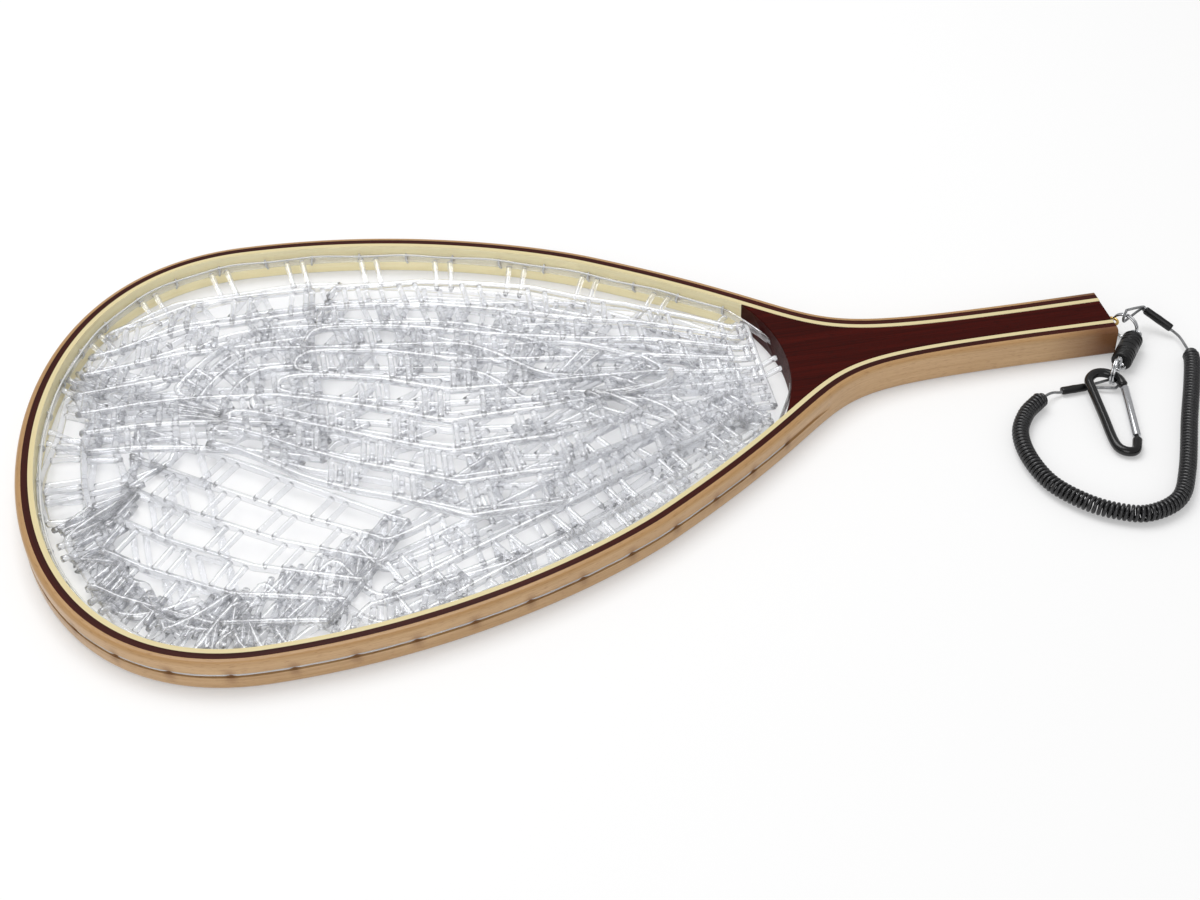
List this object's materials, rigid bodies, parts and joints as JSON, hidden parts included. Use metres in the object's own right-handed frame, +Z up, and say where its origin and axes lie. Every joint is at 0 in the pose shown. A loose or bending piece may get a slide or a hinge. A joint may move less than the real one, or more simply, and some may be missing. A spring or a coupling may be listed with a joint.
{
  "type": "landing net",
  "caption": "Wooden landing net: a laminated hoop and grip, a clear rubber net bag, and a coiled tether with a magnetic release and carabiner.",
  "frame": {"origin": "on the underside of the grip, on the centre line, 60 mm from the butt", "axes": "+X along the handle to its butt, the hoop's tip at -X, +Z up from the surface it lies on"},
  "size_m": [0.6282, 0.3406, 0.0203],
  "materials": {
    "ash": "satin varnish",
    "walnut": "satin varnish",
    "maple": "satin varnish",
    "mahogany": "gloss varnish",
    "clear_rubber": "clear",
    "brass": "satin",
    "steel": "polished",
    "black_plastic": "matte",
    "black_metal": "anodised",
    "cord_grey": "gloss"
  },
  "bodies": {
    "frame": {"outer_lamination": "ash", "middle_lamination": "walnut", "inner_lamination": "maple", "handle_core": "mahogany", "bag_band": "clear_rubber", "net_bag": "clear_rubber", "lacing": "clear_rubber", "screw_eye": "brass", "release_upper_body": "black_plastic", "release_upper_magnet": "steel", "release_upper_eye": "steel", "near_lead": "cord_grey", "near_sleeve": "black_plastic", "near_ferrule": "steel", "lanyard_coil": "cord_grey"},
    "upper_ring": {"upper_split_ring": "steel"},
    "release": {"release_lower_body": "black_plastic", "release_lower_magnet": "steel", "release_lower_eye": "steel", "far_lead": "cord_grey", "far_sleeve": "black_plastic", "far_ferrule": "steel"},
    "lower_ring": {"lower_split_ring": "steel"},
    "carabiner": {"carabiner_body": "black_metal", "gate_pin": "steel"},
    "gate": {"carabiner_gate": "steel"}
  },
  "joints": [
    {"name": "upper_ring_turn", "type": "hinge", "parent": "frame", "child": "upper_ring", "pos_m": [0.0698, -0.0055, 0.0085], "axis": [-0.76, -0.65, 0], "range_deg": [-40, 20]},
    {"name": "release_pull", "type": "slide", "parent": "frame", "child": "release", "axis": [-0.6198, -0.7848, 0], "range_m": [0, 0.012], "deforming": ["lanyard_coil"]},
    {"name": "lower_ring_turn", "type": "hinge", "parent": "release", "child": "lower_ring", "pos_m": [0.0499, -0.0417, 0.0082], "axis": [-0.7848, 0.6198, 0], "range_deg": [-30, 30]},
    {"name": "carabiner_swing", "type": "hinge", "parent": "release", "child": "carabiner", "pos_m": [0.0485, -0.043, 0.007], "axis": [0, 0, 1], "range_deg": [-6, 6]},
    {"name": "gate_hinge", "type": "hinge", "parent": "carabiner", "child": "gate", "pos_m": [0.0426, -0.0885, 0.0037], "axis": [-0.0059, -0.0678, 0.9977], "range_deg": [0, 16], "stiffness_Nm_per_rad": 0.03, "springref_deg": -11.46}
  ]
}
